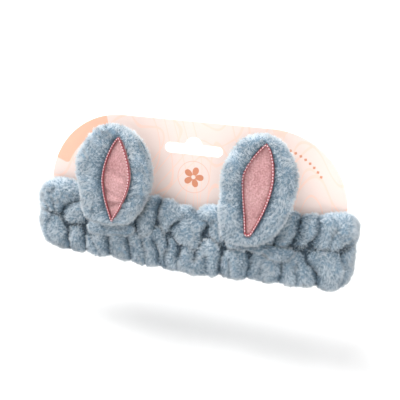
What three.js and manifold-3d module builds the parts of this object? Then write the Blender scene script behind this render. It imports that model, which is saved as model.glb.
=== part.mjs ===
// Plush rabbit-ear spa headband, stretched flat round its hanging backing card.
// Millimetres, +Z up, +X along the band to the viewer's right, ears facing -Y.
// The origin is the centre of the round part of the card's hang slot.
//
// The band is a loop: two straight layers, in front of and behind the card, joined by a half
// turn past each of the card's side edges. A "track" is the line that runs round such a loop at
// a constant distance from its core, the straight line between the centres of the half turns.

import * as THREE from 'three';
import { mergeVertices } from 'three/addons/utils/BufferGeometryUtils.js';
import Module from 'manifold-3d';

const wasm = await Module();
wasm.setup();

// General
const CLEARANCE = 0.3;            // gap between pieces that touch
const TURN_STEPS = 20;            // facets in each half turn of the loop

// Backing card
const CARD_WIDTH = 184;
const CARD_TOP = 14.4;
const CARD_BOTTOM = -66;
const CARD_THICKNESS = 0.6;
const CARD_CORNER_RADIUS = 47.5;
const CARD_FOOT_RADIUS = 10;
const SLOT_WIDTH = 35;
const SLOT_HEIGHT = 6;
const SLOT_BUMP_RADIUS = 5.2;
const SLOT_DROP = 2;              // the slot's middle line below the bump's centre

// Gathered fleece tube, built from the card outwards
const BAND_BOTTOM = -74;
const ROW_HEIGHT = 23;            // each of the two gathered rows
const CARD_GAP = 0.9;             // card face to the inner face of the fleece
const CARD_EDGE_GAP = 0.8;        // card's side edge to the fleece in the half turns
const TURN_INNER_RADIUS = 5.4;    // inner face of the fleece in the half turns
const RIM_COVER = 1.6;            // fleece outside that face at the top and bottom rims
const ELASTIC_COVER = 0.5;        // fleece between that face and the elastic's channel
const GROOVE_COVER = 1.9;         // fleece outside the channel in the middle groove
const GROOVE_DEPTH = 3;           // middle groove to the fullest part of a row

// Elastic and its join
const ELASTIC_THICKNESS = 1.2;
const ELASTIC_WIDTH = 20;
const JOIN_WIDTH = 12;
const JOIN_THICKNESS = 0.5;
const JOIN_OFFSET = -30;          // along the back layer from its middle

// Seams of the band
const THREAD = 0.6;               // thickness of a thread line
const SEAM_HEIGHT = 1.0;          // width of a thread line
const LONG_SEAM_DROP = 5;         // the long seam below the middle groove
const CROSS_SEAM_SINK = 0.9;      // the cross seam below the face of the back layer

// Ears
const EAR_OFFSET = 45;            // middle of the card to the foot of each ear
const LEFT_EAR_LEAN = 0;          // degrees towards the viewer's right
const RIGHT_EAR_LEAN = 3;
const EAR_HEIGHT = 61;
const EAR_WIDTH = 47;
const EAR_BASE_WIDTH = 26;
const EAR_CROWN = 27;             // height of the round top above the widest place
const EAR_THICKNESS = 13;
const EAR_GAP = 0.5;              // band and its stitches to the back of the ears
const EAR_RISE = 2.6;             // middle groove to the foot of the ear
const EAR_FLEECE = 2.5;           // fleece wall of an ear
const EDGE_SEAM = 0.8;            // thickness of the seam between front and back
const EDGE_SEAM_WIDTH = 1.8;

// Pink panel in each ear, and the almond opening that shows it
const ALMOND_BOTTOM = 3;          // above the foot of the ear
const ALMOND_HEIGHT = 50;
const ALMOND_WIDTH = 18;
const PINK_THICKNESS = 1.0;
const PINK_MARGIN = 2.5;          // hidden edge of the panel behind the fleece
const EDGE_STITCH_WIDTH = 1.5;

// Where an ear is sewn into the band
const TAB_WIDTH = 24;
const TAB_THICKNESS = 1.6;
const TAB_DEPTH = 1.2;
const BASE_STITCH_LENGTH = 22;

// Values worked out from those above. Depths are distances from the core line.
const bandTop = BAND_BOTTOM + 2 * ROW_HEIGHT;
const bandMiddle = BAND_BOTTOM + ROW_HEIGHT;
const coreHalf = CARD_WIDTH / 2 + CARD_EDGE_GAP - TURN_INNER_RADIUS;
const innerFace = CARD_THICKNESS / 2 + CARD_GAP;
const rimDepth = TURN_INNER_RADIUS + RIM_COVER;
const channelInner = TURN_INNER_RADIUS + ELASTIC_COVER;
const elasticInner = channelInner + CLEARANCE;
const elasticOuter = elasticInner + ELASTIC_THICKNESS;
const channelOuter = elasticOuter + CLEARANCE;
const grooveDepth = channelOuter + GROOVE_COVER;
const bandDepth = grooveDepth + GROOVE_DEPTH;
const tabInner = grooveDepth + THREAD + CLEARANCE;
const baseStitchInner = tabInner + TAB_DEPTH + CLEARANCE;
const earBack = -Math.max(bandDepth, baseStitchInner + THREAD) - EAR_GAP;
const longSeamZ = bandMiddle - LONG_SEAM_DROP;

const colours = {
  card: 0xfbe9e2,
  fleece: 0x8fa6b6,
  elastic: 0xf2f2ee,
  thread: 0x6f8798,
  pink: 0xcf9a9c,
  edging: 0xa84a52,
  padding: 0xf5f5f2,
};

const materials = {
  card: new THREE.MeshStandardMaterial({ color: colours.card, roughness: 0.55, metalness: 0 }),
  fleece: new THREE.MeshStandardMaterial({ color: colours.fleece, roughness: 0.95, metalness: 0 }),
  elastic: new THREE.MeshStandardMaterial({ color: colours.elastic, roughness: 0.8, metalness: 0 }),
  thread: new THREE.MeshStandardMaterial({ color: colours.thread, roughness: 0.7, metalness: 0 }),
  pink: new THREE.MeshStandardMaterial({ color: colours.pink, roughness: 0.75, metalness: 0 }),
  edging: new THREE.MeshStandardMaterial({ color: colours.edging, roughness: 0.6, metalness: 0 }),
  padding: new THREE.MeshStandardMaterial({ color: colours.padding, roughness: 1, metalness: 0 }),
};

// ---- solids ----

function toSolid(geometry) {
  const bare = geometry.index ? geometry.toNonIndexed() : geometry.clone();
  bare.deleteAttribute('normal');
  bare.deleteAttribute('uv');
  const merged = mergeVertices(bare, 1e-4);
  return new wasm.Manifold(new wasm.Mesh({
    numProp: 3,
    vertProperties: new Float32Array(merged.attributes.position.array),
    triVerts: new Uint32Array(merged.index.array),
  }));
}

function toMesh(solid, name, material) {
  const data = solid.getMesh();
  const geometry = new THREE.BufferGeometry();
  geometry.setAttribute('position', new THREE.BufferAttribute(data.vertProperties, 3));
  geometry.setIndex(new THREE.BufferAttribute(data.triVerts, 1));
  geometry.computeVertexNormals();
  const mesh = new THREE.Mesh(geometry, material);
  mesh.name = name;
  return mesh;
}

// A flat outline raised along +Z from one height to another.
function raised(shape, fromZ, toZ, curveSegments = 12) {
  const geometry = new THREE.ExtrudeGeometry(shape, {
    depth: toZ - fromZ,
    bevelEnabled: false,
    curveSegments,
  });
  geometry.translate(0, 0, fromZ);
  return toSolid(geometry);
}

// An outline drawn in X and Z, given a thickness along Y between two depths.
function upright(shape, fromY, toY, curveSegments = 12) {
  const geometry = new THREE.ExtrudeGeometry(shape, {
    depth: toY - fromY,
    bevelEnabled: false,
    curveSegments,
  });
  geometry.rotateX(Math.PI / 2);
  geometry.translate(0, toY, 0);
  return toSolid(geometry);
}

function block(width, depth, height, x, y, z) {
  const geometry = new THREE.BoxGeometry(width, depth, height);
  geometry.translate(x, y, z);
  return toSolid(geometry);
}

// The outline of a track round the core line, seen from above.
function trackShape(radius) {
  const shape = new THREE.Shape();
  shape.absarc(coreHalf, 0, radius, -Math.PI / 2, Math.PI / 2, false);
  shape.absarc(-coreHalf, 0, radius, Math.PI / 2, 1.5 * Math.PI, false);
  shape.closePath();
  return shape;
}

// A flat hoop between two tracks.
function hoop(innerRadius, outerRadius, fromZ, toZ) {
  const outer = raised(trackShape(outerRadius), fromZ, toZ, TURN_STEPS);
  return outer.subtract(raised(trackShape(innerRadius), fromZ - 1, toZ + 1, TURN_STEPS));
}

// ---- backing card ----

function cardOutline() {
  const half = CARD_WIDTH / 2;
  const shape = new THREE.Shape();
  shape.absarc(half - CARD_CORNER_RADIUS, CARD_TOP - CARD_CORNER_RADIUS, CARD_CORNER_RADIUS,
    0, Math.PI / 2, false);
  shape.absarc(CARD_CORNER_RADIUS - half, CARD_TOP - CARD_CORNER_RADIUS, CARD_CORNER_RADIUS,
    Math.PI / 2, Math.PI, false);
  shape.absarc(CARD_FOOT_RADIUS - half, CARD_BOTTOM + CARD_FOOT_RADIUS, CARD_FOOT_RADIUS,
    Math.PI, 1.5 * Math.PI, false);
  shape.absarc(half - CARD_FOOT_RADIUS, CARD_BOTTOM + CARD_FOOT_RADIUS, CARD_FOOT_RADIUS,
    1.5 * Math.PI, 2 * Math.PI, false);
  shape.closePath();
  return shape;
}

// A flat slot with round ends.
function slotOutline() {
  const end = SLOT_HEIGHT / 2;
  const reach = SLOT_WIDTH / 2 - end;
  const shape = new THREE.Shape();
  shape.absarc(reach, -SLOT_DROP, end, -Math.PI / 2, Math.PI / 2, false);
  shape.absarc(-reach, -SLOT_DROP, end, Math.PI / 2, 1.5 * Math.PI, false);
  shape.closePath();
  return shape;
}

function bumpOutline() {
  const shape = new THREE.Shape();
  shape.absarc(0, 0, SLOT_BUMP_RADIUS, 0, 2 * Math.PI, false);
  return shape;
}

function backingCard() {
  const half = CARD_THICKNESS / 2;
  return upright(cardOutline(), -half, half, 16)
    .subtract(upright(slotOutline(), -1 - half, 1 + half, 8))
    .subtract(upright(bumpOutline(), -1 - half, 1 + half, 12));
}

// ---- band ----

// Distance from the core line to the outside of the band at a height, from rim to rim: two full
// rows with a groove between them. t runs from 0 at the bottom rim to 1 at the top rim.
function bandProfile(t) {
  const low = Math.abs(t - 0.5) > 0.25 ? rimDepth : grooveDepth;
  const swell = Math.sqrt(Math.max(0, Math.sin(Math.PI * ((2 * t) % 1))));
  return low + (bandDepth - low) * swell;
}

const PROFILE_STEPS = 16;

// Points of the profile from the bottom rim to the top rim, moved in or out by an offset.
function profilePoints(offset = 0) {
  return Array.from({ length: PROFILE_STEPS + 1 }, (unused, i) => {
    const t = i / PROFILE_STEPS;
    return new THREE.Vector2(bandProfile(t) + offset, BAND_BOTTOM + t * 2 * ROW_HEIGHT);
  });
}

// The outside of the whole band: a turned end at each end and a straight run between them.
function bandBulk() {
  const points = profilePoints();
  const turned = [new THREE.Vector2(0, BAND_BOTTOM), ...points, new THREE.Vector2(0, bandTop)];
  const lathe = new THREE.LatheGeometry(turned, 2 * TURN_STEPS);
  lathe.rotateX(Math.PI / 2);
  const ends = [-coreHalf, coreHalf].map((x) => {
    const end = lathe.clone();
    end.translate(x, 0, 0);
    return toSolid(end);
  });
  const farSide = points.toReversed().map((p) => new THREE.Vector2(-p.x, p.y));
  const section = new THREE.Shape([...points, ...farSide]);
  const run = new THREE.ExtrudeGeometry(section, { depth: 2 * coreHalf, bevelEnabled: false });
  run.rotateX(Math.PI / 2);
  run.rotateZ(Math.PI / 2);
  run.translate(-coreHalf, 0, 0);
  return toSolid(run).add(ends[0]).add(ends[1]);
}

// The space the card passes through: a flat slot with a round well at each turned end.
function loopInside() {
  const tall = 2 * ROW_HEIGHT + 2;
  const flat = block(2 * coreHalf, 2 * innerFace, tall, 0, 0, bandMiddle);
  const wells = [-coreHalf, coreHalf].map((x) => {
    const well = new THREE.CylinderGeometry(TURN_INNER_RADIUS, TURN_INNER_RADIUS, tall,
      2 * TURN_STEPS);
    well.rotateX(Math.PI / 2);
    well.translate(x, 0, bandMiddle);
    return toSolid(well);
  });
  return flat.add(wells[0]).add(wells[1]);
}

// The channel the elastic lies in, the slit of the long seam that opens it to the inner face,
// and the pocket over the elastic's join.
function elasticChannel() {
  const half = ELASTIC_WIDTH / 2 + CLEARANCE;
  const slitHalf = SEAM_HEIGHT / 2 + CLEARANCE;
  const pocketDepth = JOIN_THICKNESS + 2 * CLEARANCE;
  const slit = raised(trackShape(channelInner + CLEARANCE / 2), longSeamZ - slitHalf,
    longSeamZ + slitHalf, TURN_STEPS);
  const pocket = block(JOIN_WIDTH + 2 * CLEARANCE, pocketDepth + CLEARANCE, 2 * half,
    JOIN_OFFSET, channelOuter + (pocketDepth - CLEARANCE) / 2, bandMiddle);
  return hoop(channelInner, channelOuter, bandMiddle - half, bandMiddle + half)
    .add(slit)
    .add(pocket);
}

// A strip that follows the band's outer profile up the back at x = 0, between two offsets.
function crossSeamStrip(innerOffset, outerOffset, width) {
  const inner = profilePoints(innerOffset);
  const outer = profilePoints(outerOffset).toReversed();
  const strip = new THREE.ExtrudeGeometry(new THREE.Shape([...inner, ...outer].reverse()), {
    depth: width,
    bevelEnabled: false,
  });
  strip.rotateX(Math.PI / 2);
  strip.rotateZ(Math.PI / 2);
  strip.translate(-width / 2, 0, 0);
  return toSolid(strip);
}

// The groove the gathering stitch is drawn into, all round the outside.
function stitchGroove() {
  const half = SEAM_HEIGHT / 2 + CLEARANCE;
  return hoop(grooveDepth - CLEARANCE, bandDepth + 1, bandMiddle - half, bandMiddle + half);
}

function fleeceTube() {
  const notch = crossSeamStrip(-CROSS_SEAM_SINK - THREAD - CLEARANCE, 1,
    SEAM_HEIGHT + 2 * CLEARANCE);
  return bandBulk()
    .subtract(loopInside())
    .subtract(elasticChannel())
    .subtract(stitchGroove())
    .subtract(notch);
}

function elasticBand() {
  const half = ELASTIC_WIDTH / 2;
  return hoop(elasticInner, elasticOuter, bandMiddle - half, bandMiddle + half);
}

function elasticJoin() {
  const y = channelOuter + JOIN_THICKNESS / 2;
  return block(JOIN_WIDTH, JOIN_THICKNESS, ELASTIC_WIDTH, JOIN_OFFSET, y, bandMiddle);
}

function longSeam() {
  return hoop(channelInner - THREAD, channelInner, longSeamZ - SEAM_HEIGHT / 2,
    longSeamZ + SEAM_HEIGHT / 2);
}

function crossSeam() {
  return crossSeamStrip(-CROSS_SEAM_SINK - THREAD, -CROSS_SEAM_SINK, SEAM_HEIGHT);
}

function gatheringStitch() {
  return hoop(grooveDepth, grooveDepth + THREAD, bandMiddle - SEAM_HEIGHT / 2,
    bandMiddle + SEAM_HEIGHT / 2);
}

// ---- ears, drawn upright in their own frame with the foot at z = 0 ----

// Egg-shaped outline, narrow at the foot, drawn inwards by an inset.
function earOutline(inset = 0) {
  const half = EAR_WIDTH / 2 - inset;
  const base = EAR_BASE_WIDTH / 2 - inset;
  const widest = EAR_HEIGHT - EAR_CROWN;
  const crown = EAR_CROWN - inset;
  const shape = new THREE.Shape();
  shape.moveTo(base, inset);
  shape.bezierCurveTo(base + (half - base) * 0.6, inset + widest * 0.3,
    half, widest * 0.6, half, widest);
  shape.absellipse(0, widest, half, crown, 0, Math.PI, false, 0);
  shape.bezierCurveTo(-half, widest * 0.6,
    -base - (half - base) * 0.6, inset + widest * 0.3, -base, inset);
  shape.closePath();
  return shape;
}

// Pointed oval outline, drawn inwards by an inset, or outwards by a negative one.
function almondOutline(inset = 0) {
  const half = ALMOND_WIDTH / 2 - inset;
  const low = ALMOND_BOTTOM + inset;
  const high = ALMOND_BOTTOM + ALMOND_HEIGHT - inset;
  const middle = (low + high) / 2;
  const reach = (high - low) / 4;
  const shape = new THREE.Shape();
  shape.moveTo(0, low);
  shape.bezierCurveTo(half * 0.5, low + reach * 0.6, half, middle - reach, half, middle);
  shape.bezierCurveTo(half, middle + reach, half * 0.5, high - reach * 0.6, 0, high);
  shape.bezierCurveTo(-half * 0.5, high - reach * 0.6, -half, middle + reach, -half, middle);
  shape.bezierCurveTo(-half, middle - reach, -half * 0.5, low + reach * 0.6, 0, low);
  return shape;
}

const EAR_STEPS = 8;
const earFront = earBack - EAR_THICKNESS;
const earSeamY = earBack - EAR_THICKNESS / 2;
const panelEdgeGap = EDGE_SEAM / 2 + CLEARANCE;
const pinkFront = earFront + EAR_FLEECE + 2 * CLEARANCE + THREAD;
const pinkBack = pinkFront + PINK_THICKNESS;

function earSlab(inset, fromY, toY) {
  return upright(earOutline(inset), fromY, toY, EAR_STEPS);
}

function almondSlab(inset, fromY, toY) {
  return upright(almondOutline(inset), fromY, toY, EAR_STEPS);
}

// The fleece back of an ear: a shallow tray that opens to the front.
function earBackPanel() {
  const rim = earSeamY + panelEdgeGap;
  return earSlab(0, rim, earBack).subtract(earSlab(EAR_FLEECE, rim - 1, earBack - EAR_FLEECE));
}

// The fleece front: a shallow tray that opens to the back, with the almond opening.
function earFrontPanel() {
  const rim = earSeamY - panelEdgeGap;
  return earSlab(0, earFront, rim)
    .subtract(earSlab(EAR_FLEECE, earFront + EAR_FLEECE, rim + 1))
    .subtract(almondSlab(0, earFront - 1, earFront + EAR_FLEECE + 1));
}

function earEdgeSeam() {
  const half = EDGE_SEAM / 2;
  return earSlab(CLEARANCE, earSeamY - half, earSeamY + half)
    .subtract(earSlab(CLEARANCE + EDGE_SEAM_WIDTH, earSeamY - 1, earSeamY + 1));
}

function earPadding() {
  return earSlab(EAR_FLEECE + CLEARANCE, pinkBack + CLEARANCE, earBack - EAR_FLEECE - CLEARANCE);
}

// The pink panel is trimmed to the inside of the ear, so its hidden edge never meets the fleece.
function earInnerPanel() {
  return almondSlab(-PINK_MARGIN, pinkFront, pinkBack)
    .intersect(earSlab(EAR_FLEECE + CLEARANCE, pinkFront - 1, pinkBack + 1));
}

function earInnerEdging() {
  const from = pinkFront - CLEARANCE - THREAD;
  const to = pinkFront - CLEARANCE;
  return almondSlab(CLEARANCE, from, to)
    .subtract(almondSlab(CLEARANCE + EDGE_STITCH_WIDTH, from - 1, to + 1));
}

function ear(side, x, lean) {
  const group = new THREE.Group();
  group.position.set(x, 0, bandMiddle + EAR_RISE);
  group.rotation.y = THREE.MathUtils.degToRad(lean);
  group.add(
    toMesh(earBackPanel(), `${side}_ear_back_panel`, materials.fleece),
    toMesh(earFrontPanel(), `${side}_ear_front_panel`, materials.fleece),
    toMesh(earInnerPanel(), `${side}_ear_inner_panel`, materials.pink),
    toMesh(earInnerEdging(), `${side}_ear_inner_edge_stitching`, materials.edging),
    toMesh(earEdgeSeam(), `${side}_ear_edge_seam`, materials.thread),
    toMesh(earPadding(), `${side}_ear_padding`, materials.padding),
  );
  return group;
}

// The ear's sewn-down lower end, in the band's middle groove, with its line of thread.
function earFixing(side, x) {
  const group = new THREE.Group();
  group.position.set(x, 0, bandMiddle);
  const tabY = -tabInner - TAB_DEPTH / 2;
  const threadY = -baseStitchInner - THREAD / 2;
  group.add(
    toMesh(block(TAB_WIDTH, TAB_DEPTH, TAB_THICKNESS, 0, tabY, 0), `${side}_ear_base_tab`,
      materials.fleece),
    toMesh(block(BASE_STITCH_LENGTH, THREAD, SEAM_HEIGHT, 0, threadY, 0),
      `${side}_ear_base_stitches`, materials.thread),
  );
  return group;
}

// ---- assembly ----

const headband = new THREE.Group();
headband.add(
  toMesh(backingCard(), 'backing_card', materials.card),
  toMesh(fleeceTube(), 'fleece_tube', materials.fleece),
  toMesh(elasticBand(), 'elastic_band', materials.elastic),
  toMesh(elasticJoin(), 'elastic_join_stitches', materials.thread),
  toMesh(longSeam(), 'tube_long_seam', materials.thread),
  toMesh(crossSeam(), 'tube_cross_seam', materials.thread),
  toMesh(gatheringStitch(), 'gathering_stitch', materials.thread),
);
for (const [side, sign, lean] of [['left', -1, LEFT_EAR_LEAN], ['right', 1, RIGHT_EAR_LEAN]]) {
  headband.add(ear(side, sign * EAR_OFFSET, lean), earFixing(side, sign * EAR_OFFSET));
}

export default headband;
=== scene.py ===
"""Looks for a plush rabbit-ear spa headband held flat round its backing card.

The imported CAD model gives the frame: the card hangs by its slot at the origin, the band runs
along X and the ears face -Y. Lengths in this script are millimetres until a mesh is made.
"""
import math

import bpy
import numpy as np
from mathutils import Matrix, Vector


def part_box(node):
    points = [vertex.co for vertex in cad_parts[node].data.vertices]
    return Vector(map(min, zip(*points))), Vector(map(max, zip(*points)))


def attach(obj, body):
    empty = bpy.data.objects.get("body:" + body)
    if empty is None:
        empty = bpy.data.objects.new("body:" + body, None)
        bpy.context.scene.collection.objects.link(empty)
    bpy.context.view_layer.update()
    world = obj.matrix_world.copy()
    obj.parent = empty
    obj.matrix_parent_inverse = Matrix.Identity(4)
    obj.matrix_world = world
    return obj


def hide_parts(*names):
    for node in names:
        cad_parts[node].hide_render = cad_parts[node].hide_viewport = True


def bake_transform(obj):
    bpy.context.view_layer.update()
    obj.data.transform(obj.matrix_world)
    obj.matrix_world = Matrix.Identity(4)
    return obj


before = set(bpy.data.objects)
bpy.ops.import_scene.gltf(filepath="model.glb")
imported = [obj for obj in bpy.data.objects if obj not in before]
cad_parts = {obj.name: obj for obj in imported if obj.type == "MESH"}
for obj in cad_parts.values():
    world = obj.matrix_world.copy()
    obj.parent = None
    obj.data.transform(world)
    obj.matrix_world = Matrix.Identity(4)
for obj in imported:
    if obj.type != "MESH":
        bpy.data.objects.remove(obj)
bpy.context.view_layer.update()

MM = 0.001
rng = np.random.default_rng(11)


def box_mm(node):
    """Lowest and highest corner of a CAD node, in millimetres."""
    low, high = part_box(node)
    return np.array(low) / MM, np.array(high) / MM


# ---------------------------------------------------------------- camera

VIEW_AZIMUTH = math.radians(12.0)
VIEW_HEIGHT = math.radians(15.6)
VIEW_ROLL = math.radians(4.1)
VIEW_DISTANCE = 278
VIEW_TARGET = np.array([6.0, 0.0, -32.3])
FOCAL_SHARE = 1.1465          # focal length over sensor width


def make_camera():
    """A camera at an azimuth and height round the target, rolled clockwise."""
    data = bpy.data.cameras.new("view")
    data.sensor_width = 36
    data.lens = data.sensor_width * FOCAL_SHARE
    camera = bpy.data.objects.new("view", data)
    bpy.context.scene.collection.objects.link(camera)
    away = np.array([math.sin(VIEW_AZIMUTH) * math.cos(VIEW_HEIGHT),
                     -math.cos(VIEW_AZIMUTH) * math.cos(VIEW_HEIGHT),
                     math.sin(VIEW_HEIGHT)])
    camera.location = (VIEW_TARGET + away * VIEW_DISTANCE) * MM
    camera.rotation_mode = "XYZ"
    look = Vector(-away).to_track_quat("-Z", "Y")
    rolled = look @ Matrix.Rotation(VIEW_ROLL, 3, "Z").to_quaternion()
    camera.rotation_euler = rolled.to_euler()
    bpy.context.scene.camera = camera


make_camera()

# ---------------------------------------------------------------- sizes from the frame

CARD_HIGH = box_mm("backing_card")[1]
TUBE_LOW, TUBE_HIGH = box_mm("fleece_tube")
GROOVE_LOW, GROOVE_HIGH = box_mm("gathering_stitch")

BAND_DEPTH = TUBE_HIGH[1]                        # core line to the fullest part of a row
CORE_HALF = TUBE_HIGH[0] - BAND_DEPTH            # half length of the straight core line
BAND_MIDDLE = (GROOVE_LOW[2] + GROOVE_HIGH[2]) / 2
GROOVE_DEPTH = GROOVE_HIGH[1]                    # core line to the stitches in the groove
ROW_HEIGHT = TUBE_HIGH[2] - BAND_MIDDLE
CARD_FACE = CARD_HIGH[1]

# ---------------------------------------------------------------- mesh making


def make_piece(name, vertices, faces, uv=None, openness=None):
    """A smooth mesh from vertices in millimetres and faces of equal length, with an optional UV
    value for each vertex, and for cloth how open it lies, from 0 in a fold to 1."""
    faces = np.asarray(faces, np.int32)
    starts = np.arange(0, faces.size, faces.shape[1], dtype=np.int32)
    mesh = bpy.data.meshes.new(name)
    mesh.vertices.add(len(vertices))
    mesh.vertices.foreach_set("co", (np.asarray(vertices) * MM).astype(np.float32).ravel())
    mesh.loops.add(faces.size)
    mesh.loops.foreach_set("vertex_index", faces.ravel())
    mesh.polygons.add(len(faces))
    mesh.polygons.foreach_set("loop_start", starts)
    mesh.update(calc_edges=True)
    mesh.polygons.foreach_set("use_smooth", np.full(len(faces), True))
    if uv is not None:
        layer = mesh.uv_layers.new(name="OFBake")
        layer.data.foreach_set("uv", np.asarray(uv, np.float32)[faces.ravel()].ravel())
    if openness is not None:
        mesh.attributes.new("openness", "FLOAT", "POINT").data.foreach_set(
            "value", np.ascontiguousarray(openness, np.float32))
    mesh.validate()
    piece = bpy.data.objects.new(name, mesh)
    bpy.context.scene.collection.objects.link(piece)
    return piece


def ring_faces(rows, columns, wrap_rows=False):
    """Quads of a grid of points that closes on itself across its columns, and across its rows
    if asked."""
    i = np.arange(rows if wrap_rows else rows - 1)[:, None]
    j = np.arange(columns)[None, :]
    a = i * columns + j
    b = i * columns + (j + 1) % columns
    c = ((i + 1) % rows) * columns + (j + 1) % columns
    d = ((i + 1) % rows) * columns + j
    return np.stack([a, b, c, d], -1).reshape(-1, 4)


def closed_shell(rings):
    """Vertices and triangles of a closed shell through a stack of rings: quads between rings
    split in two, and a fan to the middle point of the first ring and of the last."""
    count, columns = rings.shape[:2]
    quads = ring_faces(count, columns)
    triangles = np.concatenate([quads[:, [0, 1, 2]], quads[:, [0, 2, 3]]])
    first, last = count * columns, count * columns + 1
    j = np.arange(columns)
    after = (j + 1) % columns
    top = (count - 1) * columns
    fans = np.concatenate([
        np.stack([np.full(columns, first), after, j], -1),
        np.stack([np.full(columns, last), top + j, top + after], -1)])
    ends = [rings[0].mean(0)[None], rings[-1].mean(0)[None]]
    vertices = np.concatenate([rings.reshape(-1, 3), *ends])
    return vertices, np.concatenate([triangles, fans])


NOISE_VALUES = 4096
NOISE_PRIMES = (73856093, 19349663, 83492791)     # one for each axis, to mix a corner's place


def lattice_noise(points, size, seed):
    """Smooth noise from -1 to 1: random values on a cubic lattice of the given size, blended
    between the eight corners round each point with an ease curve."""
    values = np.random.default_rng(seed).uniform(-1, 1, NOISE_VALUES)
    cell = np.floor(points / size).astype(np.int64)
    part = points / size - cell
    blend = part * part * (3 - 2 * part)
    total = np.zeros(points.shape[:-1])
    for corner in np.ndindex(2, 2, 2):
        key = np.bitwise_xor.reduce((cell + corner) * NOISE_PRIMES, axis=-1)
        weight = np.prod(np.where(np.array(corner) == 1, blend, 1 - blend), -1)
        total += weight * values[key % NOISE_VALUES]
    return total


def ease(low, high, value):
    """0 below low, 1 above high, and a smooth step between them."""
    t = np.clip((value - low) / (high - low), 0, 1)
    return t * t * (3 - 2 * t)


# ---------------------------------------------------------------- the gathered rows

TURN_TRACK = 9.0                                  # depth at which the loop's length is counted
STRAIGHT = 2 * CORE_HALF
TURN = math.pi * TURN_TRACK
LOOP = 2 * STRAIGHT + 2 * TURN
ROW_STATIONS = 620
SECTION_POINTS = 72
LAYER_CLEARANCE = 1.4                             # a straight layer's inner face, off the core
TURN_CLEARANCE = 5.4                              # the same in the middle of a half turn
PILE_ROOM = 1.7                                   # the cloth stands back by this for its pile
SWELL = 0.9                                       # and comes forward again by this, swollen
PUFF_RISE = 7.2                                   # from the bottom of a fold to a puff's top
FOLD_WIDTH = 0.95                                 # share of its reach that a fold draws in
ROW_OVERLAP = 1.5                                 # each row runs past the groove by this
RIM_ROOM = 2                                      # the rear layer's rims stay in by this


def on_loop(along, depth, height):
    """Points of the loop: along counts from the left end of the front layer, to the right,
    round the right turn, back along the rear layer and round the left turn, and depth is the
    distance outwards from the core line."""
    along = np.mod(along, LOOP)
    front = along < STRAIGHT
    right = (along >= STRAIGHT) & (along < STRAIGHT + TURN)
    rear = (along >= STRAIGHT + TURN) & (along < 2 * STRAIGHT + TURN)
    angle = np.where(right, (along - STRAIGHT) / TURN_TRACK - math.pi / 2,
                     (along - 2 * STRAIGHT - TURN) / TURN_TRACK + math.pi / 2)
    x = np.where(front, along - CORE_HALF,
                 np.where(rear, CORE_HALF - (along - STRAIGHT - TURN),
                          np.where(right, CORE_HALF, -CORE_HALF) + depth * np.cos(angle)))
    y = np.where(front, -depth, np.where(rear, depth, depth * np.sin(angle)))
    return np.stack([x, y, np.broadcast_to(height, x.shape)], -1)


def inner_depth(along):
    """Depth of the face that lies on the card: close to it on the straight layers, and in the
    half turns a flat ellipse that clears the card's edge."""
    along = np.mod(along, LOOP)
    cosine = np.zeros_like(along)
    for middle in (STRAIGHT + TURN / 2, LOOP - TURN / 2):
        off = (along - middle) / TURN_TRACK
        cosine = np.where(np.abs(off) < math.pi / 2, np.cos(off), cosine)
    return 1 / np.sqrt((cosine / TURN_CLEARANCE) ** 2 + (1 - cosine ** 2) / LAYER_CLEARANCE ** 2)


# Heights along the front layer, as places on X and Z: the top of the upper row, the groove
# between the rows and the bottom of the lower row. The rear layer is even.
TOP_LINE = [(-101, -38), (-96, -33), (-90, -30), (-84, -28.5), (-76, -28.5), (-68, -30),
            (-55, -31), (-30, -31), (-20, -31), (-14, -31.5), (-9, -33.5), (-5, -36),
            (-1, -35), (3, -36), (5.5, -38), (8, -36), (12, -33.5), (16, -32.5), (21, -33.5),
            (35, -32), (52, -31), (60, -30.5), (65, -29.5), (70, -31), (78, -30), (86, -28),
            (92, -27.5), (98, -29), (102, -32)]
GROOVE_LINE = [(-101, -48), (-95, -49), (-88, -49.5), (-82, -51), (-77, -56), (-68, -55),
               (-60, -53), (-34, -53), (-30, -56), (-26, -59), (-21, -54), (-16.5, -49),
               (-13, -52), (-9.5, -55), (-6, -54), (-3, -57.5), (3, -59.5), (8, -61.5),
               (11, -56), (13, -52), (17, -52), (21, -54.5), (25, -56), (45, -55),
               (55, -55), (63, -53), (66, -51), (73, -50.5), (82, -49), (90, -49.5),
               (98, -46.5), (102, -47)]
BOTTOM_LINE = [(-101, -64), (-97, -68), (-92, -71), (-84, -73), (-76, -74), (-70, -75),
               (-64, -74), (-56, -75.5), (-48, -74), (-40, -75.5), (-34, -75), (-25, -76.5),
               (-16, -76), (-11, -77.5), (-2, -77), (6, -77.5), (14, -76.5), (19, -77.5),
               (23, -76), (30, -76), (40, -75), (50, -75.5), (59, -74), (70, -75), (80, -73.5),
               (90, -73.5), (97, -71), (102, -67)]

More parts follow.
